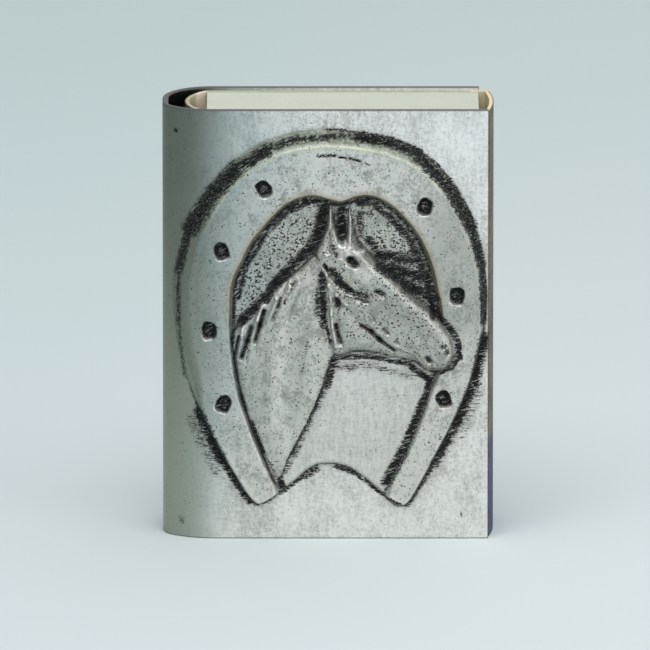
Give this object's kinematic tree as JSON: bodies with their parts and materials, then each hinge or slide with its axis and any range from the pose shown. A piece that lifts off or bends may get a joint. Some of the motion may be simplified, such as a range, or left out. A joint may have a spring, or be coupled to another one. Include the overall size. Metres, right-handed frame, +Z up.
{
  "type": "matchbox holder",
  "caption": "Bent pewter cover with a cast horse and horseshoe relief, holding a card matchbox whose tray slides out.",
  "frame": {"origin": "middle of the whole object's bounding box, on the surface that it stands on", "axes": "+Z up along the cover's height, -Y out of the front flap with its relief, +X from the spine to the open fore-edge"},
  "size_m": [0.0398, 0.0154, 0.053],
  "materials": {
    "pewter_sheet": "satin pewter, darkened with age",
    "pewter_casting": "cast pewter, black in the recesses and rubbed bright on top",
    "sleeve_card": "plain grey-tan card",
    "striking_surface": "rough dark striking surface",
    "tray_card": "cream card",
    "match_wood": "split aspen",
    "match_head_compound": "matt dipped head"
  },
  "bodies": {
    "holder": {"cover": "pewter_sheet", "medallion": "pewter_casting"},
    "matchbox": {"sleeve": "sleeve_card", "striker_right": "striking_surface", "striker_left": "striking_surface"},
    "tray": {"tray": "tray_card", "match_stick_01": "match_wood", "match_stick_02": "match_wood", "match_stick_03": "match_wood", "match_stick_04": "match_wood", "match_stick_05": "match_wood", "match_stick_06": "match_wood", "match_stick_07": "match_wood", "match_stick_08": "match_wood", "match_stick_09": "match_wood", "match_stick_10": "match_wood", "match_stick_11": "match_wood", "match_stick_12": "match_wood", "match_stick_13": "match_wood", "match_stick_14": "match_wood", "match_stick_15": "match_wood", "match_stick_16": "match_wood", "match_stick_17": "match_wood", "match_stick_18": "match_wood", "match_stick_19": "match_wood", "match_stick_20": "match_wood", "match_stick_21": "match_wood", "match_stick_22": "match_wood", "match_head_01": "match_head_compound", "match_head_02": "match_head_compound", "match_head_03": "match_head_compound", "match_head_04": "match_head_compound", "match_head_05": "match_head_compound", "match_head_06": "match_head_compound", "match_head_07": "match_head_compound", "match_head_08": "match_head_compound", "match_head_09": "match_head_compound", "match_head_10": "match_head_compound", "match_head_11": "match_head_compound", "match_head_12": "match_head_compound", "match_head_13": "match_head_compound", "match_head_14": "match_head_compound", "match_head_15": "match_head_compound", "match_head_16": "match_head_compound", "match_head_17": "match_head_compound", "match_head_18": "match_head_compound", "match_head_19": "match_head_compound", "match_head_20": "match_head_compound", "match_head_21": "match_head_compound", "match_head_22": "match_head_compound"}
  },
  "joints": [
    {"name": "matchbox_slide", "type": "slide", "parent": "holder", "child": "matchbox", "axis": [1, 0, 0], "range_m": [0, 0.038]},
    {"name": "tray_slide", "type": "slide", "parent": "matchbox", "child": "tray", "axis": [0, 0, 1], "range_m": [-0.04, 0.04]}
  ]
}
